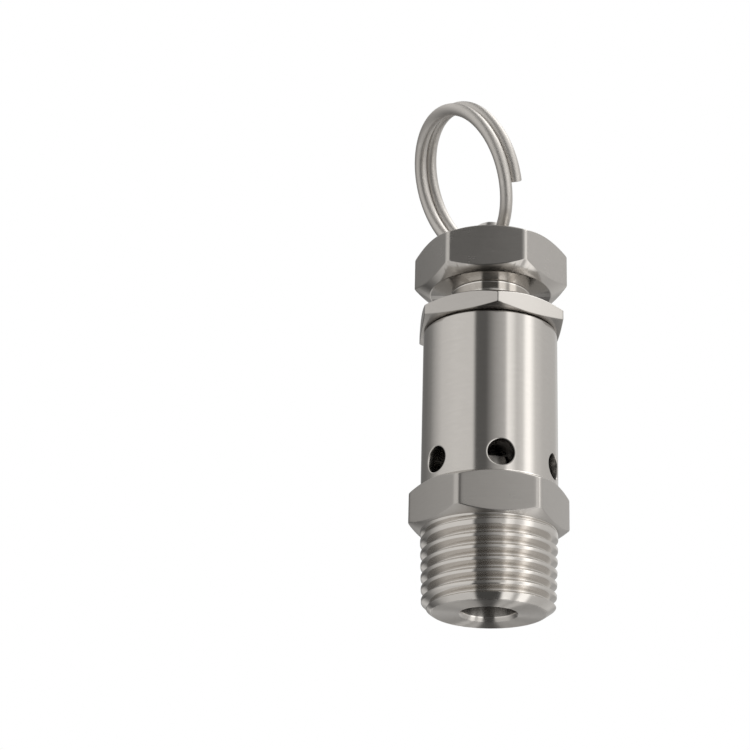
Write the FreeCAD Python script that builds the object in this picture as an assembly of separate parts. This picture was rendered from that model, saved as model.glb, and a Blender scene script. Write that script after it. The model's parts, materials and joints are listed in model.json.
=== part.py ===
import FreeCAD, Part
import os
from math import atan, cos, degrees, pi, radians, sin, tan

# Pressure relief valve with a 1/2 inch tapered male inlet thread.
# Millimetres.  The origin is the centre of the inlet end face and +Z runs up the valve's axis.
# An azimuth of 0 degrees points along -Y, and azimuths grow towards +X.

# ---------------------------------------------------------------- driving dimensions
# Inlet thread: 14 threads per inch on a 1 in 16 taper
thread_pitch = 25.4 / 14
thread_taper = atan(1 / 32)
thread_gauge_dia = 20.955
thread_gauge_length = 8.16
thread_depth = 1.16
thread_flank = radians(27.5)
thread_root_flat = 0.18
thread_cutter_reach = 0.3
thread_full_length = 11.3
thread_fade_turns = 0.9
thread_fade_angle = radians(35)
inlet_face_r = 8.65
inlet_chamfer_height = 1.15

# Valve body: hexagon and barrel turned from one bar
base_hex_af = 22.0
base_hex_corner_r = 12.5
base_hex_bottom = 12.75
base_hex_top = 19.55
base_hex_corner = -22.5
base_hex_top_face_r = 10.8
base_hex_chamfer = radians(30)
barrel_dia = 21.3
barrel_top = 45.8
barrel_edge = 0.3
chamber_dia = 12.8
inlet_bore_dia = 8.3
inlet_mouth_dia = 9.0
inlet_mouth_depth = 0.6
seat_lip_z = 18.2
seat_lip_dia = 9.8
seat_floor_z = 17.2
seat_lip_draft = 0.2
vent_count = 6
vent_dia = 4.05
vent_z = 22.45
vent_azimuth = 9.7
vent_edge = 0.2
body_thread_bottom = 37.8
body_thread_lead = 0.5

# Set-pressure thread, M14 x 1, between the adjusting screw and the body and lock nut
set_pitch = 1.0
set_thread_male_dia = 13.84
set_thread_bore_dia = 14.0
set_thread_depth = 0.55
set_thread_crest_width = 0.2

# Lock nut
nut_af = 21.9
nut_corner_r = 12.6
nut_height = 3.3
nut_corner = 5.6
nut_face_r = 10.55
nut_bottom_chamfer = radians(15.5)
nut_top_chamfer = radians(30)
nut_bore_edge = 0.4

# Adjusting screw
cap_af = 21.5
cap_corner_r = 12.3
cap_bottom = 52.65
cap_top = 60.55
cap_corner = -33.5
cap_bottom_face_r = 9.7
cap_top_face_r = 10.0
cap_chamfer = radians(30)
neck_dia = 12.4
neck_bottom = 48.5
screw_bottom = 40.5
cap_bore_dia = 8.2
cap_bore_bottom = 53.2
cap_bore_floor_slope = radians(30)
cap_mouth_depth = 2.4
screw_bore_dia = 4.16

# Lifting stem
stem_dia = 4.0
stem_bottom = 23.4
stem_shoulder_z = 55.4
stem_head_dia = 8.0
stem_head_lead = radians(30)
dome_top = 65.55
eye_z = 61.65
eye_dia = 4.5
eye_azimuth = 28.5

# Split pull ring
ring_wire_dia = 2.0
ring_mean_r = 11.8
ring_lean = 25.0
ring_tilt = 4.0
ring_seat_drop = 0.3
ring_cut_near = 64.0
ring_cut_far = 32.0
ring_jog_half_span = 28.0
ring_turn_gap = 0.04

# Disc holder and its soft seal
holder_bottom = seat_lip_z
holder_flange_top = 22.0
holder_guide_dia = 12.6
holder_flats_af = 11.3
holder_boss_dia = 7.2
holder_boss_top = 27.4
seal_dia = 10.4
seal_thickness = 1.6
seal_bore_dia = 3.4
washer_dia = 6.4
washer_thickness = 0.8
seal_screw_dia = 3.0
seal_screw_head_dia = 5.5
seal_screw_head_height = 1.5
seal_screw_top = 22.6
seal_screw_socket_af = 2.0
seal_screw_socket_depth = 0.9
seal_screw_crown_dia = 3.7
seal_screw_shoulder_dia = 5.1
seal_screw_shoulder_height = 0.9
seal_screw_rim_height = 0.3
pin_dia = 1.5
pin_z = 25.4
pin_inset = 0.2

# Spring and its seats
lower_seat_thickness = 1.4
lower_seat_dia = 11.8
spring_wire_dia = 1.6
spring_mean_dia = 9.8
spring_bottom = holder_flange_top + lower_seat_thickness
spring_top = 38.7
spring_end_turns = 1.0
spring_active_turns = 3.5
upper_seat_dia = 11.9
upper_seat_bore_dia = 4.6
upper_seat_pilot_dia = 7.4
upper_seat_pilot_length = 1.6
upper_seat_pilot_edge = 0.4

# Clearances
assembly_gap = 0.02
cut_margin = 1.0

up = FreeCAD.Vector(0, 0, 1)
origin = FreeCAD.Vector(0, 0, 0)


# ---------------------------------------------------------------- shape helpers
def at(radius, azimuth, height):
    """Point at a radius, azimuth in degrees and height."""
    angle = radians(azimuth)
    return FreeCAD.Vector(radius * sin(angle), -radius * cos(angle), height)


def turned(profile):
    """Solid of revolution about Z from a closed outline of (radius, height) points."""
    points = [FreeCAD.Vector(r, 0, z) for r, z in profile]
    outline = Part.makePolygon(points + points[:1])
    return Part.Face(outline).revolve(origin, up, 360)


def rod(diameter, bottom, top):
    """Cylinder on the valve's axis."""
    return Part.makeCylinder(diameter / 2, top - bottom, FreeCAD.Vector(0, 0, bottom))


def cross_rod(diameter, azimuth, height, start, end):
    """Cylinder across the valve's axis, from one radius to another."""
    direction = at(1, azimuth, 0)
    return Part.makeCylinder(diameter / 2, end - start, at(start, azimuth, height), direction)


def hexagon(across_flats, bottom, top, corner_azimuth):
    """Hexagonal prism on the valve's axis."""
    corner_r = across_flats / 2 / cos(pi / 6)
    corners = [at(corner_r, corner_azimuth + 60 * k, bottom) for k in range(6)]
    outline = Part.makePolygon(corners + corners[:1])
    return Part.Face(outline).extrude(FreeCAD.Vector(0, 0, top - bottom))


def chamfered_hexagon(across_flats, corner_r, bottom, top, corner_azimuth,
                      bottom_r, top_r, bottom_slope, top_slope):
    """Hexagonal prism with turned corners, chamfered to a round face at each end.

    The turned envelope is made of splines, so the flats' curved edges are splines too.
    """
    rise_bottom = (corner_r - bottom_r) * tan(bottom_slope)
    rise_top = (corner_r - top_r) * tan(top_slope)
    envelope = turned([
        (0, bottom),
        (bottom_r, bottom),
        (corner_r, bottom + rise_bottom),
        (corner_r, top - rise_top),
        (top_r, top),
        (0, top),
    ])
    return hexagon(across_flats, bottom, top, corner_azimuth).common(envelope.toNurbs())


def bored(solid, diameter, bottom, top):
    """Solid with a round hole along the valve's axis."""
    return solid.cut(rod(diameter, bottom, top))


# ---------------------------------------------------------------- valve body
def thread_crest_r(z):
    """Crest radius of the tapered inlet thread at a height."""
    return thread_gauge_dia / 2 + (z - thread_gauge_length) * tan(thread_taper)


def groove_sweep(bottom, top, root_r, cone_angle, start_azimuth):
    """Helical V-shaped cutter whose root follows a cone."""
    helix = Part.makeHelix(thread_pitch, top - bottom, root_r, degrees(cone_angle))
    reach = thread_depth + thread_cutter_reach
    half_root = thread_root_flat / 2
    half_mouth = half_root + reach * tan(thread_flank)
    corners = [
        FreeCAD.Vector(root_r, 0, -half_root),
        FreeCAD.Vector(root_r + reach, 0, -half_mouth),
        FreeCAD.Vector(root_r + reach, 0, half_mouth),
        FreeCAD.Vector(root_r, 0, half_root),
    ]
    section = Part.makePolygon(corners + corners[:1])
    cutter = Part.Wire(helix.Edges).makePipeShell([section], True, True)
    cutter.rotate(origin, up, start_azimuth)
    cutter.translate(FreeCAD.Vector(0, 0, bottom))
    return cutter


def cut_inlet_thread(blank):
    """Blank with the tapered thread cut into it, fading out at the hexagon."""
    start = -thread_pitch
    root_r = thread_crest_r(start) - thread_depth
    full = groove_sweep(start, thread_full_length, root_r, thread_taper, 0)
    turns = (thread_full_length - start) / thread_pitch
    fade_r = thread_crest_r(thread_full_length) - thread_depth
    fade_top = thread_full_length + thread_pitch * thread_fade_turns
    fade = groove_sweep(thread_full_length, fade_top, fade_r, thread_fade_angle, 360 * turns)
    return blank.cut(full).cut(fade)


def inlet_thread_blank():
    """Tapered blank of the inlet thread, with its lead chamfer."""
    chamfer_r = thread_crest_r(inlet_chamfer_height)
    return turned([
        (0, 0),
        (inlet_face_r, 0),
        (chamfer_r, inlet_chamfer_height),
        (thread_crest_r(base_hex_bottom), base_hex_bottom),
        (thread_crest_r(base_hex_bottom), base_hex_bottom + cut_margin),
        (0, base_hex_bottom + cut_margin),
    ])


def barrel_blank():
    """Outside of the barrel, with a small edge break at its top."""
    outer_r = barrel_dia / 2
    return turned([
        (0, base_hex_bottom + cut_margin),
        (outer_r, base_hex_bottom + cut_margin),
        (outer_r, barrel_top - barrel_edge),
        (outer_r - barrel_edge, barrel_top),
        (0, barrel_top),
    ])


def body_chamber():
    """Space inside the body: inlet bore, raised seat lip, chamber and screw thread bore."""
    bore_r = inlet_bore_dia / 2
    lip_r = seat_lip_dia / 2
    screw_r = set_thread_bore_dia / 2
    return turned([
        (0, -cut_margin),
        (inlet_mouth_dia / 2, -cut_margin),
        (inlet_mouth_dia / 2, 0),
        (bore_r, inlet_mouth_depth),
        (bore_r, seat_lip_z),
        (lip_r, seat_lip_z),
        (lip_r + seat_lip_draft, seat_floor_z),
        (chamber_dia / 2, seat_floor_z),
        (chamber_dia / 2, body_thread_bottom),
        (screw_r, body_thread_bottom + body_thread_lead),
        (screw_r, barrel_top - body_thread_lead),
        (screw_r + body_thread_lead, barrel_top),
        (screw_r + body_thread_lead, barrel_top + cut_margin),
        (0, barrel_top + cut_margin),
    ])


def vent_cutter(azimuth):
    """Radial vent hole with a broken outer edge."""
    hole = cross_rod(vent_dia, azimuth, vent_z, 0, barrel_dia)
    edge_r = vent_dia / 2 + vent_edge
    rim_start = barrel_dia / 2 - 2 * vent_edge
    rim = Part.makeCone(vent_dia / 2 - vent_edge, edge_r, 2 * vent_edge,
                        at(rim_start, azimuth, vent_z), at(1, azimuth, 0))
    return hole.fuse(rim)


def make_valve_body():
    """Inlet thread, hexagon and vented barrel in one turned piece."""
    hex_solid = chamfered_hexagon(base_hex_af, base_hex_corner_r, base_hex_bottom, base_hex_top,
                                  base_hex_corner, thread_crest_r(base_hex_bottom),
                                  base_hex_top_face_r, base_hex_chamfer, base_hex_chamfer)
    inlet_thread = cut_inlet_thread(inlet_thread_blank())
    body = inlet_thread.fuse(hex_solid).fuse(barrel_blank()).cut(body_chamber())
    for k in range(vent_count):
        body = body.cut(vent_cutter(vent_azimuth + 360 / vent_count * k))
    return body


# ---------------------------------------------------------------- top works
def make_lock_nut():
    """Thin hexagon nut that locks the adjusting screw against the barrel."""
    top = barrel_top + nut_height
    nut = chamfered_hexagon(nut_af, nut_corner_r, barrel_top, top, nut_corner,
                            nut_face_r, nut_face_r, nut_bottom_chamfer, nut_top_chamfer)
    bore_r = set_thread_bore_dia / 2
    opening = turned([
        (0, barrel_top - cut_margin),
        (bore_r + nut_bore_edge, barrel_top - cut_margin),
        (bore_r + nut_bore_edge, barrel_top),
        (bore_r, barrel_top + nut_bore_edge),
        (bore_r, top - nut_bore_edge),
        (bore_r + nut_bore_edge, top),
        (bore_r + nut_bore_edge, top + cut_margin),
        (0, top + cut_margin),
    ])
    return nut.cut(opening)


def screw_shank():
    """Threaded shank of the adjusting screw, its thread shown as rings, and the plain neck."""
    crest_r = set_thread_male_dia / 2
    root_r = crest_r - set_thread_depth
    half_crest = set_thread_crest_width / 2
    outline = [(0, screw_bottom), (root_r, screw_bottom)]
    ring_count = int((neck_bottom - screw_bottom) / set_pitch)
    for k in range(ring_count):
        crest_z = screw_bottom + (k + 0.5) * set_pitch
        outline.append((crest_r, crest_z - half_crest))
        outline.append((crest_r, crest_z + half_crest))
        outline.append((root_r, crest_z + set_pitch / 2))
    outline.append((neck_dia / 2, neck_bottom))
    outline.append((neck_dia / 2, cap_bottom + cut_margin))
    outline.append((0, cap_bottom + cut_margin))
    return turned(outline)


def make_adjusting_screw():
    """Hexagonal cap with a neck and a threaded shank, bored through for the stem."""
    cap = chamfered_hexagon(cap_af, cap_corner_r, cap_bottom, cap_top, cap_corner,
                            cap_bottom_face_r, cap_top_face_r, cap_chamfer, cap_chamfer)
    screw = cap.fuse(screw_shank())
    bore_r = cap_bore_dia / 2
    screw = bored(screw, screw_bore_dia, screw_bottom - cut_margin, cap_top + cut_margin)
    counterbore = turned([
        (0, cap_bore_bottom - bore_r * tan(cap_bore_floor_slope)),
        (bore_r, cap_bore_bottom),
        (bore_r, cap_top - cap_mouth_depth),
        (bore_r + cap_mouth_depth, cap_top),
        (bore_r + cap_mouth_depth, cap_top + cut_margin),
        (0, cap_top + cut_margin),
    ])
    return screw.cut(counterbore)


def make_stem():
    """Lifting stem: plain rod, shoulder and domed head with the eye for the pull ring."""
    head_r = stem_head_dia / 2
    shaft = rod(stem_dia, stem_bottom, stem_shoulder_z + cut_margin)
    dome_centre_z = dome_top - head_r
    dome = Part.makeSphere(head_r, FreeCAD.Vector(0, 0, dome_centre_z))
    lead_height = (head_r - stem_dia / 2) * tan(stem_head_lead)
    lead = Part.makeCone(stem_dia / 2, head_r, lead_height, FreeCAD.Vector(0, 0, stem_shoulder_z))
    head = rod(stem_head_dia, stem_shoulder_z + lead_height, dome_centre_z)
    stem = shaft.fuse(lead).fuse(head).fuse(dome)
    eye = cross_rod(eye_dia, eye_azimuth, eye_z, -stem_head_dia, stem_head_dia)
    pin_hole = cross_rod(pin_dia, eye_azimuth, pin_z, -stem_dia, stem_dia)
    return stem.cut(eye).cut(pin_hole).removeSplitter()


# ---------------------------------------------------------------- pull ring
def ring_layer(offset, start, end):
    """One turn of the ring's wire in the ring's own plane, between two angles."""
    section = Part.Wire([Part.makeCircle(ring_wire_dia / 2, FreeCAD.Vector(ring_mean_r, 0, offset),
                                         FreeCAD.Vector(0, 1, 0))])
    turn = Part.Face(section).revolve(origin, up, end - start)
    turn.rotate(origin, up, start)
    return turn


def ring_jog(start, end, offset_start, offset_end):
    """The part of the wire that steps from one turn to the next."""
    steps = 10
    points = []
    for k in range(steps + 1):
        part = k / steps
        angle = radians(start + (end - start) * part)
        blend = part * part * (3 - 2 * part)
        height = offset_start + (offset_end - offset_start) * blend
        points.append(FreeCAD.Vector(ring_mean_r * cos(angle), ring_mean_r * sin(angle), height))
    first = radians(start)
    last = radians(end)
    curve = Part.BSplineCurve()
    curve.interpolate(points, InitialTangent=FreeCAD.Vector(-sin(first), cos(first), 0),
                      FinalTangent=FreeCAD.Vector(-sin(last), cos(last), 0))
    section = Part.Wire([Part.makeCircle(ring_wire_dia / 2, points[0],
                                         FreeCAD.Vector(-sin(first), cos(first), 0))])
    return Part.Wire([curve.toShape()]).makePipeShell([section], True, True)


def make_pull_ring():
    """Split ring of nearly two turns, standing in the stem's eye at a lean.

    Angles are in the ring's own plane and count from the line through the eye.
    """
    half = (ring_wire_dia + ring_turn_gap) / 2
    eye_angle = 270
    far_start = eye_angle + ring_jog_half_span
    near_end = eye_angle - ring_jog_half_span
    far_turn = ring_layer(half, far_start - 360, eye_angle - ring_cut_far)
    jog = ring_jog(near_end, far_start, -half, half)
    near_turn = ring_layer(-half, eye_angle + ring_cut_near - 360, near_end)
    ring = far_turn.fuse(jog).fuse(near_turn)
    lean = radians(ring_lean)
    tilt = radians(ring_tilt)
    across = at(1, eye_azimuth, 0)
    level = at(1, eye_azimuth - 90, 0)
    rise = level * sin(lean) + up * cos(lean)
    lift = (rise * cos(tilt) + across * sin(tilt)) * (ring_mean_r - ring_seat_drop)
    centre = FreeCAD.Vector(0, 0, eye_z) + lift
    ring.Placement = FreeCAD.Placement(centre, FreeCAD.Rotation(across, rise, across.cross(rise), "ZXY"))
    return ring


# ---------------------------------------------------------------- moving train inside
def make_disc_holder():
    """Guided holder of the seal, with flats for the flow and a boss inside the spring."""
    guide = rod(holder_guide_dia, holder_bottom, holder_flange_top)
    flats = hexagon(holder_flats_af, holder_bottom, holder_flange_top, 0)
    flange = guide.common(flats)
    boss = rod(holder_boss_dia, holder_bottom, holder_boss_top)
    holder = flange.fuse(boss)
    holder = bored(holder, seal_dia, holder_bottom - cut_margin, holder_bottom + seal_thickness)
    holder = bored(holder, seal_screw_dia, holder_bottom, seal_screw_top)
    holder = bored(holder, stem_dia, stem_bottom, holder_boss_top + cut_margin)
    pin_hole = cross_rod(pin_dia, eye_azimuth, pin_z, -holder_boss_dia, holder_boss_dia)
    return holder.cut(pin_hole)


def make_seat_seal():
    """Soft flat ring that closes on the seat lip."""
    seal = rod(seal_dia, holder_bottom, holder_bottom + seal_thickness)
    return bored(seal, seal_bore_dia, holder_bottom - cut_margin, holder_flange_top)


def make_seal_washer():
    """Washer that clamps the middle of the seal."""
    bottom = holder_bottom - washer_thickness
    washer = rod(washer_dia, bottom, holder_bottom)
    return bored(washer, seal_bore_dia, bottom - cut_margin, holder_bottom + cut_margin)


def make_seal_screw():
    """Socket button-head screw that holds the washer and seal to the holder."""
    head_top = holder_bottom - washer_thickness
    head_bottom = head_top - seal_screw_head_height
    head_r = seal_screw_head_dia / 2
    head = turned([
        (0, head_bottom),
        (seal_screw_crown_dia / 2, head_bottom),
        (seal_screw_shoulder_dia / 2, head_top - seal_screw_shoulder_height),
        (head_r, head_top - seal_screw_rim_height),
        (head_r, head_top),
        (0, head_top),
    ])
    screw = head.fuse(rod(seal_screw_dia, head_top, seal_screw_top))
    socket = hexagon(seal_screw_socket_af, head_bottom - cut_margin,
                     head_bottom + seal_screw_socket_depth, 0)
    return screw.cut(socket)


def make_stem_pin():
    """Cross pin that fastens the stem in the disc holder."""
    half = holder_boss_dia / 2 - pin_inset
    return cross_rod(pin_dia, eye_azimuth, pin_z, -half, half)


# ---------------------------------------------------------------- spring
def make_lower_spring_seat():
    """Hardened washer between the spring and the disc holder."""
    seat = rod(lower_seat_dia, holder_flange_top, spring_bottom)
    return bored(seat, holder_boss_dia + 2 * assembly_gap, holder_bottom, spring_top)


def make_upper_spring_seat():
    """Flanged seat on top of the spring, with a pilot that centres it."""
    flange = rod(upper_seat_dia, spring_top, screw_bottom)
    pilot_r = upper_seat_pilot_dia / 2
    pilot_bottom = spring_top - upper_seat_pilot_length
    pilot = turned([
        (0, pilot_bottom),
        (pilot_r - upper_seat_pilot_edge, pilot_bottom),
        (pilot_r, pilot_bottom + upper_seat_pilot_edge),
        (pilot_r, spring_top),
        (0, spring_top),
    ])
    return bored(flange.fuse(pilot), upper_seat_bore_dia, spring_bottom, cap_top)


def coil_height(turn):
    """Height of the wire's centre after a number of turns, with closed end turns."""
    total_turns = spring_active_turns + 2 * spring_end_turns
    low = spring_bottom + spring_wire_dia / 2
    high = spring_top - spring_wire_dia / 2
    end_pitch = spring_wire_dia + assembly_gap
    if turn <= spring_end_turns:
        return low + end_pitch * turn
    if turn >= total_turns - spring_end_turns:
        return high - end_pitch * (total_turns - turn)
    part = (turn - spring_end_turns) / spring_active_turns
    return low + end_pitch * spring_end_turns + (high - low - 2 * end_pitch * spring_end_turns) * part


def make_spring():
    """Compression spring with closed, squared ends."""
    total_turns = spring_active_turns + 2 * spring_end_turns
    steps_per_turn = 12
    mean_r = spring_mean_dia / 2
    points = []
    for k in range(int(total_turns * steps_per_turn) + 1):
        turn = k / steps_per_turn
        angle = 2 * pi * turn
        points.append(FreeCAD.Vector(mean_r * cos(angle), mean_r * sin(angle), coil_height(turn)))
    curve = Part.BSplineCurve()
    curve.interpolate(points)
    direction = curve.tangent(curve.FirstParameter)[0]
    section = Part.Wire([Part.makeCircle(spring_wire_dia / 2, points[0], direction)])
    return Part.Wire([curve.toShape()]).makePipeShell([section], True, True)


# ---------------------------------------------------------------- output
nodes = {
    "valve_body": make_valve_body,
    "lock_nut": make_lock_nut,
    "adjusting_screw": make_adjusting_screw,
    "lifting_stem": make_stem,
    "pull_ring": make_pull_ring,
    "disc_holder": make_disc_holder,
    "seat_seal": make_seat_seal,
    "seal_washer": make_seal_washer,
    "seal_screw": make_seal_screw,
    "stem_pin": make_stem_pin,
    "lower_spring_seat": make_lower_spring_seat,
    "upper_spring_seat": make_upper_spring_seat,
    "spring": make_spring,
}

os.makedirs("parts", exist_ok=True)
for name, make in nodes.items():
    shape = make()
    shape.exportStep("parts/" + name + ".step")
    print(name, "solids", len(shape.Solids), "valid", shape.isValid(), "volume", round(shape.Volume, 2))
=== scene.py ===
import bpy
import bmesh
import json
from math import atan2, cos, degrees, pi, radians, sin, sqrt, tan
from mathutils import Matrix, Vector


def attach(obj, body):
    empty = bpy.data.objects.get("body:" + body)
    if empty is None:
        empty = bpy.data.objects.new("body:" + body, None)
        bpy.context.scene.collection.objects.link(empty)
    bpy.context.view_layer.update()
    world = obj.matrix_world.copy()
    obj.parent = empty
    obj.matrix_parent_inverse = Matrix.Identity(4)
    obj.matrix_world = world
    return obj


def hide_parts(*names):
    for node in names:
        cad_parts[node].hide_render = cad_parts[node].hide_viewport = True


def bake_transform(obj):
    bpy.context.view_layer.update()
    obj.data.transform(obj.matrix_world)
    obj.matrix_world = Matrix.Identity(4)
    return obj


# Looks of the pressure relief valve, in the CAD frame.  Lengths below are millimetres, and MM turns
# them into metres.  An azimuth of 0 degrees points along -Y, and azimuths grow towards +X.
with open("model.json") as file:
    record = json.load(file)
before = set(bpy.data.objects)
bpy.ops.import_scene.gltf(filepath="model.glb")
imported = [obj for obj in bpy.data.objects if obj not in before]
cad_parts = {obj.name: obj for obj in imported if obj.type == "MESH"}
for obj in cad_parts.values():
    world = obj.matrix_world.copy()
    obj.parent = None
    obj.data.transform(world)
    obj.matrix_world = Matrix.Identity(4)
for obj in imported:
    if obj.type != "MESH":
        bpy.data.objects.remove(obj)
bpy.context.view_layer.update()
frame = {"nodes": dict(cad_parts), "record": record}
MM = 0.001

# ---------------------------------------------------------------- sizes of the pieces
# An EDGE is a broken edge's size.  An EDGE_BAND is how far from an edge a row of points keeps the
# face beyond it shaded flat.  An OVERLAP is how far a piece reaches into the next one.
THREAD_PITCH = 25.4 / 14
THREAD_TAPER = 1 / 32
THREAD_GAUGE_R = 10.4775
THREAD_GAUGE_Z = 8.16
THREAD_DEPTH = 1.16
THREAD_HALF_ROOT = 0.09
THREAD_FLANK = radians(27.5)
THREAD_FULL_TOP = 11.3
THREAD_FADE_LENGTH = 0.9 * THREAD_PITCH
THREAD_ROUNDING = 0.09
THREAD_OVERLAP = 0.2
FACE_R = 8.65
FACE_EDGE = 0.3
FACE_FLAT_OUTER_R = 7.6
FACE_FLAT_INNER_R = 5.2
LEAD_HEIGHT = 1.15
LEAD_ROUNDING = 0.2

HEX_AF = 22.0
HEX_CORNER_R = 12.5
HEX_BOTTOM = 12.75
HEX_TOP = 19.55
HEX_CORNER = -22.5
HEX_TOP_FACE_R = 10.8
CHAMFER = radians(30)
FLAT_CROWN = 0.10
CORNER_ROUNDING = 0.2
HEX_EDGE = 0.13
HEX_EDGE_BAND = 0.6
HEX_FOOT_WIDTH = 0.3
HEX_FOOT_RISE = 0.02
HEX_FOOT_EDGE = 0.1

BARREL_R = 10.65
BARREL_TOP = 45.8
BARREL_EDGE = 0.3
BARREL_EDGE_ROUNDING = 0.1
BARREL_EDGE_BAND = 1.2
BARREL_FLARE = 0.3
BARREL_OVERLAP = 0.05
CHAMBER_R = 6.4
SCREW_BORE_R = 7.0
SCREW_BORE_BOTTOM = 37.8
SCREW_BORE_LEAD = 0.5
BORE_R = 4.15
MOUTH_R = 4.5
MOUTH_DEPTH = 0.6
MOUTH_LIP = 0.12
MOUTH_LIP_DEPTH = 0.05
MOUTH_FOOT = 0.08
MOUTH_FOOT_RISE = 0.1
MOUTH_EDGE_BAND = 6.0
SEAT_FLOOR = 17.2
SEAT_LIP = 18.2
SEAT_LIP_R = 4.9
SEAT_LIP_SLOPE = 0.2
SEAT_LIP_EDGE = 0.08
VENT_COUNT = 6
VENT_R = 2.025
VENT_EDGE = 0.2
VENT_EDGE_BAND = 1.5
VENT_Z = 22.45
VENT_AZIMUTH = 9.7

NUT_AF = 21.9
NUT_CORNER_R = 12.6
NUT_HEIGHT = 3.3
NUT_CORNER = 5.6
NUT_FACE_R = 10.55
NUT_BOTTOM_CHAMFER = radians(15.5)
NUT_TOP_CHAMFER = radians(30)
NUT_BORE_EDGE = 0.4
NUT_EDGE_BAND = 0.4
NUT_CORNER_ROUNDING = 0.04
NUT_RELIEF_R = 9.7
NUT_RELIEF = 0.12

CAP_AF = 21.5
CAP_CORNER_R = 12.3
CAP_BOTTOM = 52.65
CAP_TOP = 60.55
CAP_CORNER = -33.5
CAP_BOTTOM_FACE_R = 9.7
CAP_TOP_FACE_R = 10.0
CAP_BORE_R = 4.1
CAP_BORE_BOTTOM = 53.2
CAP_MOUTH = 2.4
CAP_MOUTH_EDGE = 0.1
CAP_RIM_EDGE = 0.12
NECK_R = 6.2
NECK_BOTTOM = 48.5
NECK_FILLET = 0.25
NECK_EDGE_BAND = 2.15
SHANK_BOTTOM = 40.5
SHANK_CREST_R = 6.92
SHANK_PITCH = 1.0
SHANK_THREAD_DEPTH = 0.55
SHANK_THREAD_EDGE = 0.08
STEM_BORE_R = 2.08

EYE_Z = 61.65
EYE_AZIMUTH = 28.5
RING_WIRE_R = 1.0
RING_R = 11.8
RING_LEAN = radians(25)
RING_TILT = radians(4)
RING_SEAT_DROP = 0.3
RING_HALF_STEP = 1.003
RING_START = -26.0
RING_STEP_START = 242.0
RING_STEP_END = 298.0
RING_END = 598.0
RING_CUT_EDGE = 0.14

FINE_LINE_WIDTH = 0.11
BROAD_LINE_WIDTH = 0.55
CLOUD_SIZE = 4.5
GRIT_SIZE = 0.16
RELIEF_DEPTH = 0.012
BLOOM_SIZE = 1.2
GRAIN_LENGTH = 10.0

SPRING_R = 4.9
SPRING_WIRE_R = 0.8
SPRING_BOTTOM = 23.4
SPRING_TOP = 38.7
SPRING_TURNS = 5.5
SPRING_CLOSED_TURNS = 1.0
SPRING_CLOSED_PITCH = 1.62

# ---------------------------------------------------------------- sizes of the camera and studio
CAMERA_PLACE = (0.85, -291.38, -77.52)
CAMERA_YAW = radians(-3.751)
CAMERA_PITCH = radians(21.739)
CAMERA_ROLL = radians(1.66)
CAMERA_LENS = 94.86
CAMERA_SENSOR = 36

FLOOR_Z = -160.0
FLOOR_HALF_WIDTH = 3000.0
LAMP_AIM_Z = 40.0

# In the plan of all directions, a unit circle, the studio's screens fan out from a point on the far
# side.  The photo's camera looks close to that way, so a screen's angle in its fan is also about the
# azimuth that steel has to face to show it to that camera.
FAN_CENTRE_Y = 0.95
UPPER_FAN_SOFT = (0.03, 0.40)
UPPER_FAN_SOFT_COLOUR = (0.22, 0.217, 0.212, 1)
UNDER_FAN_EDGE = (0.28, 0.42)
FAN_HORIZON = (-0.22, 0.0)
FAN_LOW_STRENGTH = 1.6
FAN_STRENGTH = 2.0
FAN_LOWEST = -0.8


# ---------------------------------------------------------------- mesh helpers
def at(radius, azimuth, height):
    """Point in metres at a radius, azimuth in degrees and height."""
    angle = radians(azimuth)
    return Vector((radius * sin(angle), -radius * cos(angle), height)) * MM


def soft_min(a, b, width):
    """Smaller of two numbers, with a rounded change from one to the other."""
    h = max(width - abs(a - b), 0.0) / width
    return min(a, b) - h * h * width / 4


def rounded(outline, steps=4):
    """Closed outline with broken edges, from (radius, height, edge size) corners."""
    points = []
    count = len(outline)
    for k in range(count):
        here = Vector(outline[k][:2])
        size = outline[k][2]
        if size == 0:
            points.append((here.x, here.y))
            continue
        before = Vector(outline[k - 1][:2])
        after = Vector(outline[(k + 1) % count][:2])
        start = here + (before - here).normalized() * size
        end = here + (after - here).normalized() * size
        for i in range(steps + 1):
            t = i / steps
            p = start * (1 - t) ** 2 + here * 2 * t * (1 - t) + end * t ** 2
            points.append((p.x, p.y))
    return points


def add_grid(bm, position, us, vs):
    """Sheet of four-sided faces over two lists of parameters."""
    rows = [[bm.verts.new(position(u, v)) for v in vs] for u in us]
    for a, b in zip(rows, rows[1:]):
        for k in range(len(vs) - 1):
            bm.faces.new((a[k], b[k], b[k + 1], a[k + 1]))


def finished(name, bm, crease=28.0):
    """Object from a bmesh: welded, facing out, smooth except at its creases."""
    bmesh.ops.remove_doubles(bm, verts=bm.verts, dist=0.0005 * MM)
    bmesh.ops.dissolve_degenerate(bm, dist=0.0005 * MM, edges=bm.edges)
    bmesh.ops.recalc_face_normals(bm, faces=bm.faces)
    for face in bm.faces:
        face.smooth = True
    for edge in bm.edges:
        edge.smooth = len(edge.link_faces) == 2 and edge.calc_face_angle(0) < radians(crease)
    mesh = bpy.data.meshes.new(name)
    bm.to_mesh(mesh)
    bm.free()
    piece = bpy.data.objects.new(name, mesh)
    bpy.context.scene.collection.objects.link(piece)
    normals = piece.modifiers.new("even normals", "WEIGHTED_NORMAL")
    normals.keep_sharp = True
    return piece


def lofted(name, outline_at, azimuths):
    """Closed piece round the axis from the outline at each azimuth, without repeating the first."""
    bm = bmesh.new()
    columns = []
    for azimuth in azimuths:
        columns.append([bm.verts.new(at(r, azimuth, z)) for r, z in outline_at(azimuth)])
    for k, column in enumerate(columns):
        following = columns[(k + 1) % len(columns)]
        for i in range(len(column)):
            j = (i + 1) % len(column)
            bm.faces.new((column[i], following[i], following[j], column[j]))
    return finished(name, bm)


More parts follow.
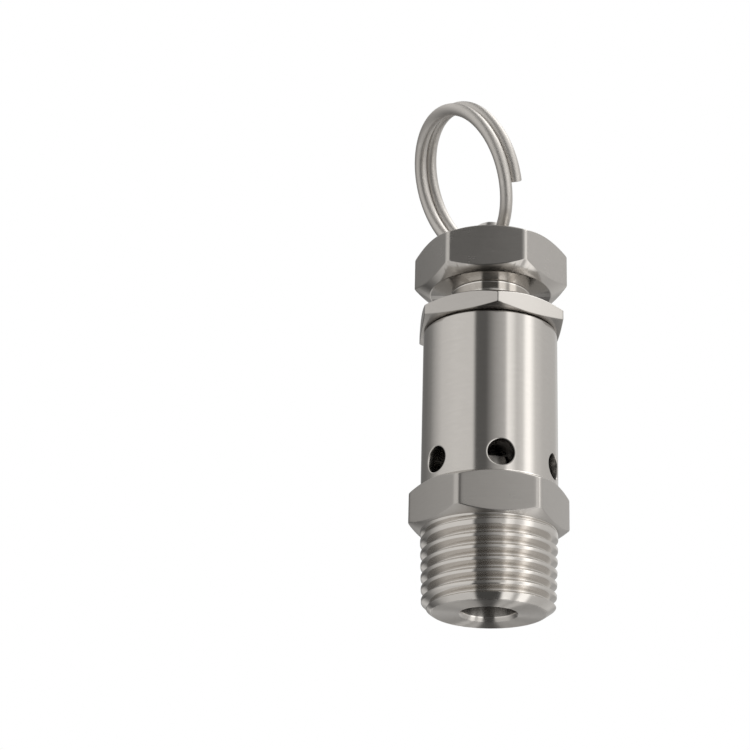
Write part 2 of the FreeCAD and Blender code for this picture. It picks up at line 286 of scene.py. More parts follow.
def wire_loop(bm, centre, ahead, out, wire_r, around):
    """Points of a wire's round section, from its centre, the way the wire runs and a way out."""
    over = ahead.cross(out).normalized()
    out = over.cross(ahead)
    loop = []
    for k in range(around):
        a = 2 * pi * k / around
        loop.append(bm.verts.new((centre + (out * cos(a) + over * sin(a)) * wire_r) * MM))
    return loop


def hexagon_azimuths(corner):
    """Azimuths round a hexagon, close together near its corners."""
    near_corner = [0, 0.25, 0.5, 0.75, 1.0, 1.2, 1.4, 1.55, 1.7, 1.85, 2.0, 2.2, 2.5, 3.0, 4.0]
    half = near_corner + [5 + 1.25 * k for k in range(20)]
    steps = half + [60 - a for a in reversed(half)]
    return [corner + 60 * side + a for side in range(6) for a in steps]


def hexagon_r(across_flats, corner_r, corner, azimuth, rounding=CORNER_ROUNDING):
    """Radius of a hexagon with turned corners at an azimuth."""
    off_centre = (azimuth - corner) % 60 - 30
    crown = FLAT_CROWN * (1 - (off_centre / 30) ** 2)
    flat_r = (across_flats / 2 + crown) / cos(radians(off_centre))
    return soft_min(flat_r, corner_r, rounding)


# ---------------------------------------------------------------- inlet thread
def crest_r(z):
    """Crest radius of the tapered thread."""
    return THREAD_GAUGE_R + (z - THREAD_GAUGE_Z) * THREAD_TAPER


def blank_r(z):
    """Radius of the thread's blank: rounded end, lead chamfer, then the taper."""
    slope = (crest_r(LEAD_HEIGHT) - FACE_R) / LEAD_HEIGHT
    if z < FACE_EDGE:
        t = sqrt(max(z, 0.0) / FACE_EDGE)
        inner = FACE_R - FACE_EDGE
        outer = FACE_R + FACE_EDGE * slope
        return inner * (1 - t) ** 2 + FACE_R * 2 * t * (1 - t) + outer * t ** 2
    return soft_min(FACE_R + z * slope, crest_r(z), LEAD_ROUNDING)


def thread_r(z, turn):
    """Radius of the thread's surface at a height and a number of turns round the axis."""
    phase = (z / THREAD_PITCH - turn + 0.5) % 1 - 0.5
    from_root = phase * THREAD_PITCH
    root_z = z - from_root
    left = (THREAD_FULL_TOP + THREAD_FADE_LENGTH - root_z) / THREAD_FADE_LENGTH
    depth = THREAD_DEPTH * min(max(left, 0.0), 1.0)
    if depth == 0:
        return blank_r(z)
    reach = max(abs(from_root) - THREAD_HALF_ROOT, 0.0)
    groove_r = crest_r(root_z) - depth + reach / tan(THREAD_FLANK)
    return soft_min(blank_r(z), groove_r, THREAD_ROUNDING)


def make_inlet_thread():
    """Tapered thread with its bore and end face."""
    top = HEX_BOTTOM + THREAD_OVERLAP
    start_azimuth = 90
    columns = 288
    rows_per_pitch = 30
    first_row = -rows_per_pitch - 1
    last_row = int(top / THREAD_PITCH * rows_per_pitch) + rows_per_pitch + 1
    bm = bmesh.new()

    def surface(turn, row):
        """Point on the thread, in rows that climb with its helix and are held at both ends."""
        z = min(max((row / rows_per_pitch + turn) * THREAD_PITCH, 0.0), top)
        return at(thread_r(z, turn), 360 * turn + start_azimuth, z)

    turns = [k / columns for k in range(columns + 1)]
    add_grid(bm, surface, turns, range(first_row, last_row + 1))
    inside = [
        (FACE_FLAT_OUTER_R, 0.0),
        (FACE_FLAT_INNER_R, 0.0),
        (MOUTH_R + MOUTH_LIP, 0.0),
        (MOUTH_R, MOUTH_LIP_DEPTH),
        (BORE_R + MOUTH_FOOT, MOUTH_DEPTH - MOUTH_FOOT),
        (BORE_R, MOUTH_DEPTH + MOUTH_FOOT_RISE),
        (BORE_R, MOUTH_EDGE_BAND),
        (BORE_R, top),
    ]

    def inside_surface(turn, k):
        """Point on the end face, mouth and bore, from the thread's lower edge to its upper one."""
        if k == 0:
            r, z = thread_r(0.0, turn), 0.0
        elif k > len(inside):
            r, z = thread_r(top, turn), top
        else:
            r, z = inside[k - 1]
        return at(r, 360 * turn + start_azimuth, z)

    add_grid(bm, inside_surface, turns, range(len(inside) + 2))
    return finished("inlet_thread_turned", bm, crease=38.0)


# ---------------------------------------------------------------- body hexagon and barrel
def base_hexagon_outline(azimuth):
    """Outline of the body's hexagon at an azimuth, with the chamber's floor and seat lip."""
    side_r = hexagon_r(HEX_AF, HEX_CORNER_R, HEX_CORNER, azimuth)
    low_r = crest_r(HEX_BOTTOM)
    low = HEX_BOTTOM + (side_r - low_r) * tan(CHAMFER)
    high = HEX_TOP - (side_r - HEX_TOP_FACE_R) * tan(CHAMFER)
    return rounded([
        (BORE_R, HEX_BOTTOM, 0),
        (low_r - HEX_FOOT_WIDTH, HEX_BOTTOM, 0),
        (low_r, HEX_BOTTOM + HEX_FOOT_RISE, HEX_FOOT_EDGE),
        (side_r, low, HEX_EDGE),
        (side_r, low + HEX_EDGE_BAND, 0),
        (side_r, high - HEX_EDGE_BAND, 0),
        (side_r, high, HEX_EDGE),
        (HEX_TOP_FACE_R, HEX_TOP, 0),
        (CHAMBER_R, HEX_TOP, 0),
        (CHAMBER_R, SEAT_FLOOR, 0),
        (SEAT_LIP_R + SEAT_LIP_SLOPE, SEAT_FLOOR, 0),
        (SEAT_LIP_R, SEAT_LIP, SEAT_LIP_EDGE),
        (BORE_R, SEAT_LIP, SEAT_LIP_EDGE),
    ])


def make_barrel():
    """Barrel tube with its ring of drilled vents."""
    half_width = 24.0
    half_height = 2.7
    steps = 24
    gap_steps = 6
    rings = 8
    crowding = 1.4
    pitch = 360 / VENT_COUNT
    bottom = HEX_TOP - BARREL_OVERLAP
    low = VENT_Z - half_height
    high = VENT_Z + half_height
    bm = bmesh.new()

    def around(offset):
        """Point on a closed path round the vent's square patch, as (azimuth, height) offsets."""
        side, k = divmod(offset % (4 * steps), steps)
        t = 2 * k / steps - 1
        edge = ((t, -1), (1, t), (-t, 1), (-1, -t))[side]
        return edge[0] * half_width, edge[1] * half_height

    def vent_point(centre, offset, wall_r, hole_r):
        """Point on a vent's round edge where it meets a wall."""
        angle = 2 * pi * offset / (4 * steps) - 3 * pi / 4
        sideways = hole_r * cos(angle)
        return at(wall_r, centre + degrees(sideways / wall_r), VENT_Z + hole_r * sin(angle))

    def patch(centre, wall_r, hole_r):
        """Square of wall round a vent, in rings that crowd towards its edge."""
        def position(offset, ring):
            t = (ring / rings) ** crowding
            rim = vent_point(centre, offset, wall_r, hole_r)
            azimuth, height = around(offset)
            rim_azimuth = degrees(atan2(rim.x, -rim.y))
            turn = (centre + azimuth - rim_azimuth + 180) % 360 - 180
            edge_z = VENT_Z + height
            return at(wall_r, rim_azimuth + turn * t, rim.z / MM * (1 - t) + edge_z * t)
        add_grid(bm, position, range(4 * steps + 1), range(rings + 1))

    def vent_wall(centre):
        """Wall of a vent from the barrel's outside, over its broken edge, to the chamber."""
        walls = [
            (BARREL_R, VENT_R + VENT_EDGE),
            (BARREL_R - 0.3 * VENT_EDGE, VENT_R + 0.35 * VENT_EDGE),
            (BARREL_R - VENT_EDGE, VENT_R),
            (BARREL_R - VENT_EDGE_BAND, VENT_R),
            (CHAMBER_R, VENT_R),
        ]
        add_grid(bm, lambda offset, k: vent_point(centre, offset, *walls[k]),
                 range(4 * steps + 1), range(len(walls)))

    def band(start, end, wall_r):
        """Plain wall between two vents' squares."""
        azimuths = [start + (end - start) * k / gap_steps for k in range(gap_steps + 1)]
        heights = [low + (high - low) * k / steps for k in range(steps + 1)]
        add_grid(bm, lambda a, z: at(wall_r, a, z), azimuths, heights)

    for k in range(VENT_COUNT):
        centre = VENT_AZIMUTH + pitch * k
        patch(centre, BARREL_R, VENT_R + VENT_EDGE)
        patch(centre, CHAMBER_R, VENT_R)
        vent_wall(centre)
        band(centre + half_width, centre + pitch - half_width, BARREL_R)
        band(centre + half_width, centre + pitch - half_width, CHAMBER_R)

    upper = rounded([
        (BARREL_R, high, 0),
        (BARREL_R, BARREL_TOP - BARREL_EDGE_BAND, 0),
        (BARREL_R, BARREL_TOP - BARREL_EDGE, BARREL_EDGE_ROUNDING),
        (BARREL_R - BARREL_EDGE, BARREL_TOP, BARREL_EDGE_ROUNDING),
        (SCREW_BORE_R + SCREW_BORE_LEAD, BARREL_TOP, 0),
        (SCREW_BORE_R, BARREL_TOP - SCREW_BORE_LEAD, 0),
        (SCREW_BORE_R, SCREW_BORE_BOTTOM + SCREW_BORE_LEAD, 0),
        (CHAMBER_R, SCREW_BORE_BOTTOM, 0),
        (CHAMBER_R, high, 0),
    ])
    flare = BARREL_FLARE
    above_flare = low - 0.02
    lower = [
        (CHAMBER_R, low),
        (CHAMBER_R, bottom),
        (BARREL_R + 0.5 * flare, bottom),
        (BARREL_R + 0.22 * flare, bottom + 0.25 * flare),
        (BARREL_R + 0.06 * flare, bottom + 0.55 * flare),
        (BARREL_R, above_flare),
        (BARREL_R, low),
    ]
    column_step = 2
    first_column = VENT_AZIMUTH + half_width
    columns = [first_column + column_step * k for k in range(360 // column_step + 1)]
    for outline in (upper, lower):
        add_grid(bm, lambda a, k: at(outline[k][0], a, outline[k][1]), columns, range(len(outline)))
    return finished("vented_barrel", bm)


# ---------------------------------------------------------------- lock nut and adjusting cap
def lock_nut_outline(azimuth):
    """Outline of the lock nut at an azimuth."""
    top = BARREL_TOP + NUT_HEIGHT
    side_r = hexagon_r(NUT_AF, NUT_CORNER_R, NUT_CORNER, azimuth, NUT_CORNER_ROUNDING)
    low = BARREL_TOP + (side_r - NUT_FACE_R) * tan(NUT_BOTTOM_CHAMFER)
    high = top - (side_r - NUT_FACE_R) * tan(NUT_TOP_CHAMFER)
    bore_r = SCREW_BORE_R
    return rounded([
        (bore_r + NUT_BORE_EDGE, BARREL_TOP, 0),
        (NUT_RELIEF_R, BARREL_TOP, 0),
        (NUT_RELIEF_R, BARREL_TOP + NUT_RELIEF, 0),
        (NUT_FACE_R, BARREL_TOP + NUT_RELIEF, 0),
        (side_r, low, HEX_EDGE),
        (side_r, low + NUT_EDGE_BAND, 0),
        (side_r, high - NUT_EDGE_BAND, 0),
        (side_r, high, HEX_EDGE),
        (NUT_FACE_R, top, 0),
        (bore_r + NUT_BORE_EDGE, top, 0),
        (bore_r, top - NUT_BORE_EDGE, 0),
        (bore_r, BARREL_TOP + NUT_BORE_EDGE, 0),
    ])


def adjusting_cap_outline(azimuth):
    """Outline of the adjusting screw at an azimuth: threaded shank, neck and hexagonal cap."""
    root_r = SHANK_CREST_R - SHANK_THREAD_DEPTH
    side_r = hexagon_r(CAP_AF, CAP_CORNER_R, CAP_CORNER, azimuth)
    low = CAP_BOTTOM + (side_r - CAP_BOTTOM_FACE_R) * tan(CHAMFER)
    high = CAP_TOP - (side_r - CAP_TOP_FACE_R) * tan(CHAMFER)
    outline = [(STEM_BORE_R, SHANK_BOTTOM, 0), (root_r, SHANK_BOTTOM, 0)]
    for k in range(int((NECK_BOTTOM - SHANK_BOTTOM) / SHANK_PITCH)):
        crest_z = SHANK_BOTTOM + (k + 0.5) * SHANK_PITCH
        outline.append((SHANK_CREST_R, crest_z, SHANK_THREAD_EDGE))
        outline.append((root_r, crest_z + 0.5 * SHANK_PITCH, SHANK_THREAD_EDGE))
    outline += [
        (NECK_R, NECK_BOTTOM, 0),
        (NECK_R, CAP_BOTTOM - NECK_EDGE_BAND, 0),
        (NECK_R, CAP_BOTTOM, NECK_FILLET),
        (CAP_BOTTOM_FACE_R, CAP_BOTTOM, CAP_RIM_EDGE),
        (side_r, low, HEX_EDGE),
        (side_r, low + HEX_EDGE_BAND, 0),
        (side_r, high - HEX_EDGE_BAND, 0),
        (side_r, high, HEX_EDGE),
        (CAP_TOP_FACE_R, CAP_TOP, CAP_RIM_EDGE),
        (CAP_BORE_R + CAP_MOUTH, CAP_TOP, CAP_MOUTH_EDGE),
        (CAP_BORE_R, CAP_TOP - CAP_MOUTH, CAP_MOUTH_EDGE),
        (CAP_BORE_R, CAP_BORE_BOTTOM, 0),
        (STEM_BORE_R, CAP_BORE_BOTTOM - (CAP_BORE_R - STEM_BORE_R) * tan(CHAMFER), 0),
    ]
    return rounded(outline)


# ---------------------------------------------------------------- pull ring
def make_split_ring():
    """Split ring of nearly two turns of round wire, with its lie along the wire kept as a UV map."""
    across = at(1, EYE_AZIMUTH, 0).normalized()
    level = at(1, EYE_AZIMUTH - 90, 0).normalized()
    rise = level * sin(RING_LEAN) + Vector((0, 0, 1)) * cos(RING_LEAN)
    side = across.cross(rise)
    reach = RING_R - RING_SEAT_DROP
    centre = Vector((0, 0, EYE_Z)) + (rise * cos(RING_TILT) + across * sin(RING_TILT)) * reach

    def spine(angle):
        """Centre of the wire at an angle, stepping sideways from the first turn to the second."""
        t = min(max((angle - RING_STEP_START) / (RING_STEP_END - RING_STEP_START), 0.0), 1.0)
        offset = RING_HALF_STEP * (2 * t * t * (3 - 2 * t) - 1)
        a = radians(angle)
        return centre + across * (RING_R * cos(a)) + rise * (RING_R * sin(a)) + side * offset

    # stations along the wire, as angle and wire radius, with a broken edge at each cut end
    edge_angle = degrees(RING_CUT_EDGE / RING_R)
    low_edge = (0.3 * edge_angle, RING_WIRE_R - 0.3 * RING_CUT_EDGE)
    first = RING_START + edge_angle
    last = RING_END - edge_angle
    degrees_apart = 2
    count = int((RING_END - RING_START) / degrees_apart)
    stations = [(RING_START, RING_WIRE_R - RING_CUT_EDGE), (RING_START + low_edge[0], low_edge[1])]
    stations += [(first + (last - first) * k / count, RING_WIRE_R) for k in range(count + 1)]
    stations += [(RING_END - low_edge[0], low_edge[1]), (RING_END, RING_WIRE_R - RING_CUT_EDGE)]

    around = 32
    half_step = 0.5
    bm = bmesh.new()
    grain = bm.loops.layers.uv.new("grain")
    loops = []
    for angle, wire_r in stations:
        ahead = (spine(angle + half_step) - spine(angle - half_step)).normalized()
        out = across * cos(radians(angle)) + rise * sin(radians(angle))
        loops.append(wire_loop(bm, spine(angle), ahead, out, wire_r, around))
    for i in range(len(loops) - 1):
        for k in range(around):
            j = (k + 1) % around
            face = bm.faces.new((loops[i][k], loops[i][j], loops[i + 1][j], loops[i + 1][k]))
            places = ((k, i), (k + 1, i), (k + 1, i + 1), (k, i + 1))
            for loop, (u, v) in zip(face.loops, places):
                along = radians(stations[v][0]) * RING_R / GRAIN_LENGTH
                loop[grain].uv = (along, u / around)
    bm.faces.new(list(reversed(loops[0])))
    bm.faces.new(loops[-1])
    return finished("split_ring", bm)


# ---------------------------------------------------------------- spring
def coil_z(turn):
    """Height of the spring wire's centre, a number of turns from its lower end."""
    low = SPRING_BOTTOM + SPRING_WIRE_R
    high = SPRING_TOP - SPRING_WIRE_R
    closed = SPRING_CLOSED_TURNS * SPRING_CLOSED_PITCH
    if turn <= SPRING_CLOSED_TURNS:
        return low + SPRING_CLOSED_PITCH * turn
    if turn >= SPRING_TURNS - SPRING_CLOSED_TURNS:
        return high - SPRING_CLOSED_PITCH * (SPRING_TURNS - turn)
    part = (turn - SPRING_CLOSED_TURNS) / (SPRING_TURNS - 2 * SPRING_CLOSED_TURNS)
    return low + closed + (high - low - 2 * closed) * part


def make_coils(name, first_turn, last_turn):
    """Length of the spring's wire between two numbers of turns from its lower end."""
    steps_per_turn = 60
    count = int((last_turn - first_turn) * steps_per_turn)
    around = 20
    half_step = 0.002

    def spine(turn):
        """Centre of the wire at a number of turns."""
        angle = 2 * pi * turn
        return Vector((SPRING_R * cos(angle), SPRING_R * sin(angle), coil_z(turn)))

    bm = bmesh.new()
    loops = []
    for k in range(count + 1):
        turn = first_turn + (last_turn - first_turn) * k / count
        ahead = (spine(turn + half_step) - spine(turn - half_step)).normalized()
        out = Vector((cos(2 * pi * turn), sin(2 * pi * turn), 0))
        loops.append(wire_loop(bm, spine(turn), ahead, out, SPRING_WIRE_R, around))
    for a, b in zip(loops, loops[1:]):
        for i in range(around):
            j = (i + 1) % around
            bm.faces.new((a[i], a[j], b[j], b[i]))
    bm.faces.new(list(reversed(loops[0])))
    bm.faces.new(loops[-1])
    return finished(name, bm)


# ---------------------------------------------------------------- materials
class Graph:
    """Node tree of a material or world, with short calls for adding and linking nodes."""

    def __init__(self, owner):
        owner.use_nodes = True
        self.tree = owner.node_tree

    def add(self, kind, inputs=(), **settings):
        """New node with its inputs, by number or name, set to values or linked to sockets."""
        node = self.tree.nodes.new("ShaderNode" + kind)
        for key, value in settings.items():
            setattr(node, key, value)
        for key, value in dict(inputs).items():
            self.put(node.inputs[key], value)
        return node

    def put(self, socket, value):
        """Sets a socket to a value, or links another node's socket to it."""
        if isinstance(value, bpy.types.NodeSocket):
            self.tree.links.new(value, socket)
        else:
            socket.default_value = value

    def math(self, operation, a, b=0.0):
        """Result of a sum on one or two numbers."""
        return self.add("Math", {0: a, 1: b}, operation=operation).outputs[0]

    def mix(self, factor, a, b):
        """Colour between two colours."""
        node = self.add("Mix", {0: factor, 6: a, 7: b}, data_type="RGBA")
        return node.outputs[2]

    def noise(self, vector, scale, detail=2.0, rough=0.5):
        """Cloudy value from 0 to 1."""
        node = self.add("TexNoise", {"Vector": vector, "Scale": scale, "Detail": detail,
                                     "Roughness": rough})
        return node.outputs[0]

    def spread(self, value, low, high, to_low=0.0, to_high=1.0, shape="LINEAR"):
        """Value carried from one range to another, held at its ends."""
        node = self.add("MapRange", {0: value, 1: low, 2: high, 3: to_low, 4: to_high},
                        interpolation_type=shape)
        return node.outputs[0]


def new_material(name):
    """Material with its graph and its shader."""
    material = bpy.data.materials.new(name)
    graph = Graph(material)
    return material, graph, graph.tree.nodes["Principled BSDF"]


def tone(level):
    """Slightly warm grey."""
    return (level * 1.02, level * 0.985, level * 0.94, 1.0)


def lathe_lines(g, place, normal):
    """Two noise vectors that are drawn out round the Z axis: for fine tool lines and broad ones.

    Walls are lined by their height and level faces by their radius, as a lathe leaves them.
    """
    level_slope = 0.72
    turn_scale = 2.6
    never_zero = 1e-6
    parts = g.add("SeparateXYZ", {0: place})
    x, y, z = parts.outputs
    radius = g.math("SQRT", g.math("ADD", g.math("MULTIPLY", x, x), g.math("MULTIPLY", y, y)))
    facing = g.add("SeparateXYZ", {0: normal})
    is_level = g.math("GREATER_THAN", g.math("ABSOLUTE", facing.outputs[2]), level_slope)
    across = g.add("Mix", {0: is_level, 2: z, 3: radius}).outputs[0]
    east = g.math("DIVIDE", x, g.math("ADD", radius, never_zero))
    north = g.math("DIVIDE", y, g.math("ADD", radius, never_zero))

    def drawn_out(scale, line_width):
        """Place with its way round the axis squeezed to a scale, so that noise makes long lines."""
        place_on_line = {
            0: g.math("MULTIPLY", east, scale),
            1: g.math("MULTIPLY", north, scale),
            2: g.math("MULTIPLY", across, 1 / (line_width * MM)),
        }
        return g.add("CombineXYZ", place_on_line).outputs[0]

    return drawn_out(turn_scale, FINE_LINE_WIDTH), drawn_out(3 * turn_scale, BROAD_LINE_WIDTH)


def wire_lines(g):
    """Two noise vectors that are drawn out along the ring's wire."""
    along = g.add("UVMap", uv_map="grain").outputs[0]
    scales = ((9.0, 46.0, 1.0), (60.0, 30.0, 1.0))
    return [g.add("VectorMath", {0: along, 1: scale}, operation="MULTIPLY").outputs[0]
            for scale in scales]


def steel(name, level, rough, grain, smudge=0.06, bump=0.12, anisotropy=0.5, wear=0.3, wire=False):
    """Worked stainless steel: fine tool lines, soft smudges, brighter worn edges."""
    material, g, shader = new_material(name)
    coordinates = g.add("TexCoord")
    place = coordinates.outputs["Object"]
    if wire:
        fine_lines, broad_lines = wire_lines(g)
        tangent = g.add("Tangent", direction_type="UV_MAP", uv_map="grain")
    else:
        fine_lines, broad_lines = lathe_lines(g, place, coordinates.outputs["Normal"])
        tangent = g.add("Tangent", direction_type="RADIAL", axis="Z")
    fine = g.noise(fine_lines, 1.0, 3.0, 0.6)
    broad = g.noise(broad_lines, 1.0, 2.0)
    cloud = g.noise(place, 1 / (CLOUD_SIZE * MM), 3.0)
    grit = g.noise(place, 1 / (GRIT_SIZE * MM), 2.0)
    worn = g.spread(g.add("NewGeometry").outputs["Pointiness"], 0.53, 0.60, 0.0, wear)
    streaks = g.math("ADD", g.math("MULTIPLY", fine, 0.55), g.math("MULTIPLY", broad, 0.45))
    shade = g.mix(streaks, tone(level * 0.91), tone(level * 1.08))
    smudged = (level, level * 0.96, level * 0.915, 1.0)
    shade = g.mix(g.spread(cloud, 0.3, 0.7, 0.0, 0.22), shade, smudged)
    shade = g.mix(worn, shade, tone(0.78))
    uneven = g.math("ADD", g.math("MULTIPLY", g.math("SUBTRACT", streaks, 0.5), grain),
                    g.math("MULTIPLY", g.math("SUBTRACT", cloud, 0.5), smudge))
    roughness = g.math("SUBTRACT", g.math("ADD", uneven, rough), g.math("MULTIPLY", worn, 0.08))
    height = g.math("ADD", g.math("MULTIPLY", streaks, 0.8), g.math("MULTIPLY", grit, 0.25))
    relief = g.add("Bump", {"Strength": bump, "Distance": RELIEF_DEPTH * MM, "Height": height})
    g.put(shader.inputs["Base Color"], shade)
    g.put(shader.inputs["Roughness"], roughness)
    g.put(shader.inputs["Normal"], relief.outputs[0])
    g.put(shader.inputs["Tangent"], tangent.outputs[0])
    shader.inputs["Metallic"].default_value = 1.0
    shader.inputs["Anisotropic"].default_value = anisotropy
    shader.inputs["Anisotropic Rotation"].default_value = 0.25
    return material


def rubber(name):
    """Black moulded rubber with a dusty bloom."""
    material, g, shader = new_material(name)
    place = g.add("TexCoord").outputs["Object"]
    cloud = g.noise(place, 1 / (BLOOM_SIZE * MM), 3.0)
    grit = g.noise(place, 1 / (0.75 * GRIT_SIZE * MM), 2.0)
    relief = g.add("Bump", {"Strength": 0.3, "Distance": 0.02 * MM, "Height": grit})
    black = (0.012, 0.012, 0.013, 1)
    dusty = (0.035, 0.034, 0.033, 1)
    g.put(shader.inputs["Base Color"], g.mix(cloud, black, dusty))
    g.put(shader.inputs["Roughness"], g.spread(cloud, 0.3, 0.7, 0.5, 0.75))
    g.put(shader.inputs["Normal"], relief.outputs[0])
    return material


barrel_steel = steel("barrel satin steel", 0.60, 0.14, 0.05, smudge=0.05, bump=0.07, anisotropy=0.6)
hexagon_steel = steel("satin hexagon steel", 0.51, 0.29, 0.06, bump=0.08, anisotropy=0.2)
thread_steel = steel("cut thread steel", 0.66, 0.11, 0.06, bump=0.08, anisotropy=0.3)
face_steel = steel("faced end steel", 0.66, 0.36, 0.08, anisotropy=1.0)
# Darker steel for the bore, chamber and vent walls: painted shade, standing in for the dark of the
# shut-in inside.
inside_shade_steel = steel("inside steel darkened as painted shade", 0.30, 0.26, 0.10, bump=0.3)
nut_steel = steel("lock nut steel", 0.50, 0.25, 0.06, bump=0.10, anisotropy=0.3)
cap_steel = steel("cap satin steel", 0.55, 0.26, 0.06, bump=0.08, anisotropy=0.2)
neck_steel = steel("polished neck steel", 0.76, 0.08, 0.04, bump=0.06, anisotropy=0.4)
under_steel = steel("turned underside steel", 0.56, 0.15, 0.06, bump=0.08, anisotropy=0.4)
stem_steel = steel("turned stem steel", 0.58, 0.24, 0.10)
# Darker steel for the parts inside the chamber: painted shade.
inner_parts_shade_steel = steel("inner parts steel darkened as painted shade", 0.32, 0.30, 0.10)
wire_steel = steel("drawn ring wire", 0.63, 0.46, 0.05, bump=0.02, anisotropy=0.2, wire=True)
# Darker steel for the spring inside the chamber: painted shade.
spring_shade_steel = steel("spring wire steel darkened as painted shade", 0.28, 0.30, 0.10, anisotropy=0.0)
seal_rubber = rubber("black seal rubber")


# ---------------------------------------------------------------- pieces
def placed(piece, body, node, material):
    """Piece that rides on a body in place of a CAD node."""
    piece.data.materials.append(material)
    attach(piece, body)
    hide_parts(node)


def painted(piece, material, chosen):
    """Gives a second material to the faces whose radius, height and upward facing are chosen."""
    piece.data.materials.append(material)
    for face in piece.data.polygons:
        radius = face.center.xy.length / MM
        if chosen(radius, face.center.z / MM, face.normal.z):
            face.material_index = len(piece.data.materials) - 1


base_hexagon = lofted("base_hexagon", base_hexagon_outline, hexagon_azimuths(HEX_CORNER))
lock_nut_hexagon = lofted("lock_nut_hexagon", lock_nut_outline, hexagon_azimuths(NUT_CORNER))
adjusting_cap = lofted("adjusting_cap", adjusting_cap_outline, hexagon_azimuths(CAP_CORNER))
inlet_thread = make_inlet_thread()
barrel = make_barrel()
placed(inlet_thread, "body", "valve_body", thread_steel)
placed(base_hexagon, "body", "valve_body", hexagon_steel)
placed(barrel, "body", "valve_body", barrel_steel)
placed(lock_nut_hexagon, "lock_nut", "lock_nut", nut_steel)
placed(adjusting_cap, "adjusting_screw", "adjusting_screw", cap_steel)
placed(make_split_ring(), "pull_ring", "pull_ring", wire_steel)
# Painted shade: the bore's wall, the barrel's inside and the chamber get the darker inside steel.
painted(inlet_thread, inside_shade_steel, lambda r, z, facing: r < BORE_R + 0.02 and z > MOUTH_DEPTH)
painted(inlet_thread, stem_steel, lambda r, z, facing: r < MOUTH_R + 0.1 and 0.02 < z < MOUTH_DEPTH)
painted(inlet_thread, face_steel, lambda r, z, facing: facing < -0.9 and z < 0.1)
painted(barrel, inside_shade_steel, lambda r, z, facing: r < BARREL_R - 0.5 and z < BARREL_TOP - 1)
painted(base_hexagon, inside_shade_steel, lambda r, z, facing: r < CHAMBER_R + 0.1)
painted(adjusting_cap, neck_steel, lambda r, z, facing: r < NECK_R + 0.3 and z < CAP_BOTTOM)
painted(adjusting_cap, under_steel, lambda r, z, facing: facing < -0.8 and z > CAP_BOTTOM - 0.1)

# The spring is made in two halves, which meet at its middle turn.
lower_coils = make_coils("spring_lower_coils", 0.0, SPRING_TURNS / 2)
upper_coils = make_coils("spring_upper_coils", SPRING_TURNS / 2, SPRING_TURNS)
for coils in (lower_coils, upper_coils):
    coils.data.materials.append(spring_shade_steel)
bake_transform(lower_coils)
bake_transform(upper_coils)
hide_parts("spring")

# The nodes that keep their CAD mesh: all have the slot of stem or rubber. The stem slot's parts
# inside the chamber get steel darkened as painted shade.
slot_materials = {"stem_steel": inner_parts_shade_steel, "seal_rubber": seal_rubber}
for subpart in frame["record"]["subparts"]:
    material = slot_materials.get(subpart["material_slot"])
    if subpart["node"] == "lifting_stem":
        material = stem_steel
    if material:
        kept = frame["nodes"][subpart["node"]]
        kept.data.materials.clear()
        kept.data.materials.append(material)


# ---------------------------------------------------------------- camera
def make_camera():
    """Camera low in front of the valve, looking up at it as the photograph does."""
    level = cos(CAMERA_PITCH)
    forward = Vector((sin(CAMERA_YAW) * level, cos(CAMERA_YAW) * level, sin(CAMERA_PITCH)))
    right = Vector((cos(CAMERA_YAW), -sin(CAMERA_YAW), 0))
    up = right.cross(forward)
    tilted_right = right * cos(CAMERA_ROLL) + up * sin(CAMERA_ROLL)
    tilted_up = up * cos(CAMERA_ROLL) - right * sin(CAMERA_ROLL)
    axes = Matrix((tilted_right, tilted_up, -forward)).transposed()
    data = bpy.data.cameras.new("photo camera")
    data.lens = CAMERA_LENS
    data.sensor_width = CAMERA_SENSOR
    data.clip_start = 0.01
    camera = bpy.data.objects.new("photo camera", data)
    camera.matrix_world = Matrix.Translation(Vector(CAMERA_PLACE) * MM) @ axes.to_4x4()
    bpy.context.scene.collection.objects.link(camera)
    bpy.context.scene.camera = camera


# ---------------------------------------------------------------- studio
def make_floor():
    """Plain pale floor, below the camera, which the steel doesn't reflect."""
    bm = bmesh.new()
    half = FLOOR_HALF_WIDTH
    corners = [(-half, -half), (half, -half), (half, half), (-half, half)]
    bm.faces.new([bm.verts.new(Vector((x, y, FLOOR_Z)) * MM) for x, y in corners])
    mesh = bpy.data.meshes.new("floor")
    bm.to_mesh(mesh)
    bm.free()
    floor = bpy.data.objects.new("floor", mesh)
    bpy.context.scene.collection.objects.link(floor)
    paper, g, shader = new_material("pale floor paper")
    cloud = g.noise(g.add("TexCoord").outputs["Object"], 3.0, 4.0)
    g.put(shader.inputs["Base Color"], g.mix(cloud, (0.80, 0.80, 0.80, 1), (0.84, 0.84, 0.84, 1)))
    g.put(shader.inputs["Roughness"], g.spread(cloud, 0.3, 0.7, 0.8, 0.9))
    mesh.materials.append(paper)
    floor.visible_glossy = False


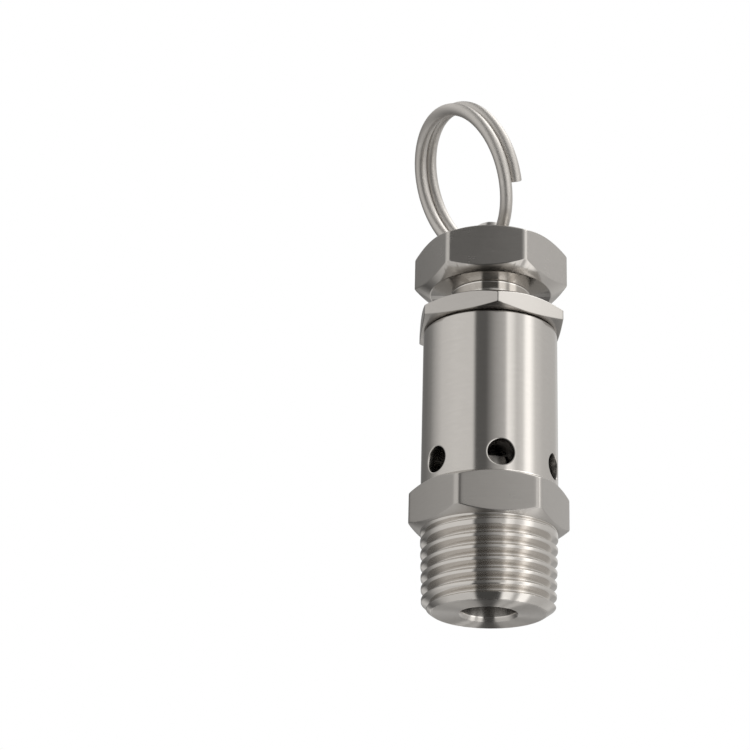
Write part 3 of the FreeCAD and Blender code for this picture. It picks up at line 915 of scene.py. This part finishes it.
# Direction round the fan in degrees, and how bright the studio is there.  The upper fan is above the
# horizon and the lower one below it, and the under fan replaces the lower one near the centre.
UPPER_FAN = [
    (-180, 0.45), (-120, 0.45), (-98, 0.22), (-90, 0.10), (-80, 0.17), (-67, 0.20),
    (-59, 0.29), (-52, 0.52), (-44, 0.76), (-30, 0.84), (-14, 0.82), (-11.5, 0.13), (-3, 0.13),
    (5, 0.44), (12.5, 0.62), (15.5, 1.35), (19.5, 1.10), (23, 0.76), (28.5, 0.92), (31.5, 1.60),
    (35, 1.70), (41, 0.88), (50, 0.70), (70, 0.62), (82, 0.8), (90, 0.5), (120, 0.6), (180, 0.45),
]
LOWER_FAN = [
    (-180, 0.06), (-150, 0.10), (-122, 0.60), (-98, 0.80), (-84, 0.45), (-72, 0.12), (-60, 0.28),
    (-50, 0.62), (-40, 0.86), (-14, 0.88), (-11.5, 0.09), (11, 0.10), (13.5, 1.60), (21, 1.45),
    (25, 0.66), (28, 0.80), (30, 1.80), (38, 1.80), (42, 0.78), (60, 0.66), (98, 0.80), (122, 0.55),
    (150, 0.10), (180, 0.06),
]
UNDER_FAN = [
    (-180, 0.05), (-140, 0.08), (-112, 0.60), (-68, 0.75), (-42, 0.30), (-22, 0.07), (24, 0.07),
    (46, 0.18), (70, 0.42), (112, 0.50), (140, 0.08), (180, 0.05),
]


def fan_of_screens(g, share, screens):
    """Colour of one fan, a share of the way round it, before the fans' full strength."""
    ramp = g.add("ValToRGB", {0: share})
    elements = ramp.color_ramp.elements
    while len(elements) > 1:
        elements.remove(elements[-1])
    for k, (angle, brightness) in enumerate(screens):
        position = (angle + 180) / 360
        stop = elements[0] if k == 0 else elements.new(position)
        level = brightness / FAN_STRENGTH
        stop.position = position
        stop.color = (level, level * 0.985, level * 0.965, 1)
    return ramp.outputs[0]


def make_world():
    """White studio with three fans of screens and dark flags, which the steel shows as bands."""
    world = bpy.data.worlds.new("studio")
    bpy.context.scene.world = world
    g = Graph(world)
    g.tree.nodes.clear()
    direction = g.add("SeparateXYZ", {0: g.add("TexCoord").outputs["Generated"]})
    east, north, up = direction.outputs
    from_centre = g.math("SUBTRACT", FAN_CENTRE_Y, north)
    azimuth = g.math("ARCTAN2", east, from_centre)
    share = g.spread(azimuth, -pi, pi)
    sideways = g.add("CombineXYZ", {0: east, 1: from_centre})
    distance = g.add("VectorMath", {0: sideways.outputs[0]}, operation="LENGTH").outputs[1]
    sharp = g.spread(distance, *UPPER_FAN_SOFT, shape="SMOOTHSTEP")
    upper = g.mix(sharp, UPPER_FAN_SOFT_COLOUR, fan_of_screens(g, share, UPPER_FAN))
    beside = g.spread(distance, *UNDER_FAN_EDGE, shape="SMOOTHSTEP")
    below = g.mix(beside, fan_of_screens(g, share, UNDER_FAN), fan_of_screens(g, share, LOWER_FAN))
    colour = g.mix(g.spread(up, *FAN_HORIZON), below, upper)
    strength = g.spread(up, FAN_LOWEST, 0.0, FAN_LOW_STRENGTH, FAN_STRENGTH)
    studio = g.add("Background", {0: colour, 1: strength})
    backdrop = g.add("Background", {0: (1, 1, 1, 1), 1: 1.0})
    seen = g.add("LightPath").outputs["Is Camera Ray"]
    chosen = g.add("MixShader", {0: seen, 1: studio.outputs[0], 2: backdrop.outputs[0]})
    g.add("OutputWorld", {0: chosen.outputs[0]})


def make_light(name, azimuth, distance, height, size, power):
    """Soft rectangular lamp aimed at the middle of the valve; size is in metres, power in watts."""
    data = bpy.data.lights.new(name, "AREA")
    data.shape = "RECTANGLE"
    data.size = size[0]
    data.size_y = size[1]
    data.energy = power
    lamp = bpy.data.objects.new(name, data)
    where = at(distance, azimuth, height)
    aim = at(0, 0, LAMP_AIM_Z) - where
    lamp.matrix_world = Matrix.Translation(where) @ aim.to_track_quat("-Z", "Y").to_matrix().to_4x4()
    bpy.context.scene.collection.objects.link(lamp)


make_camera()
make_floor()
make_world()
make_light("overhead softbox", azimuth=100, distance=500, height=900, size=(0.6, 0.6), power=1.8)
bpy.context.scene.view_settings.view_transform = "Standard"
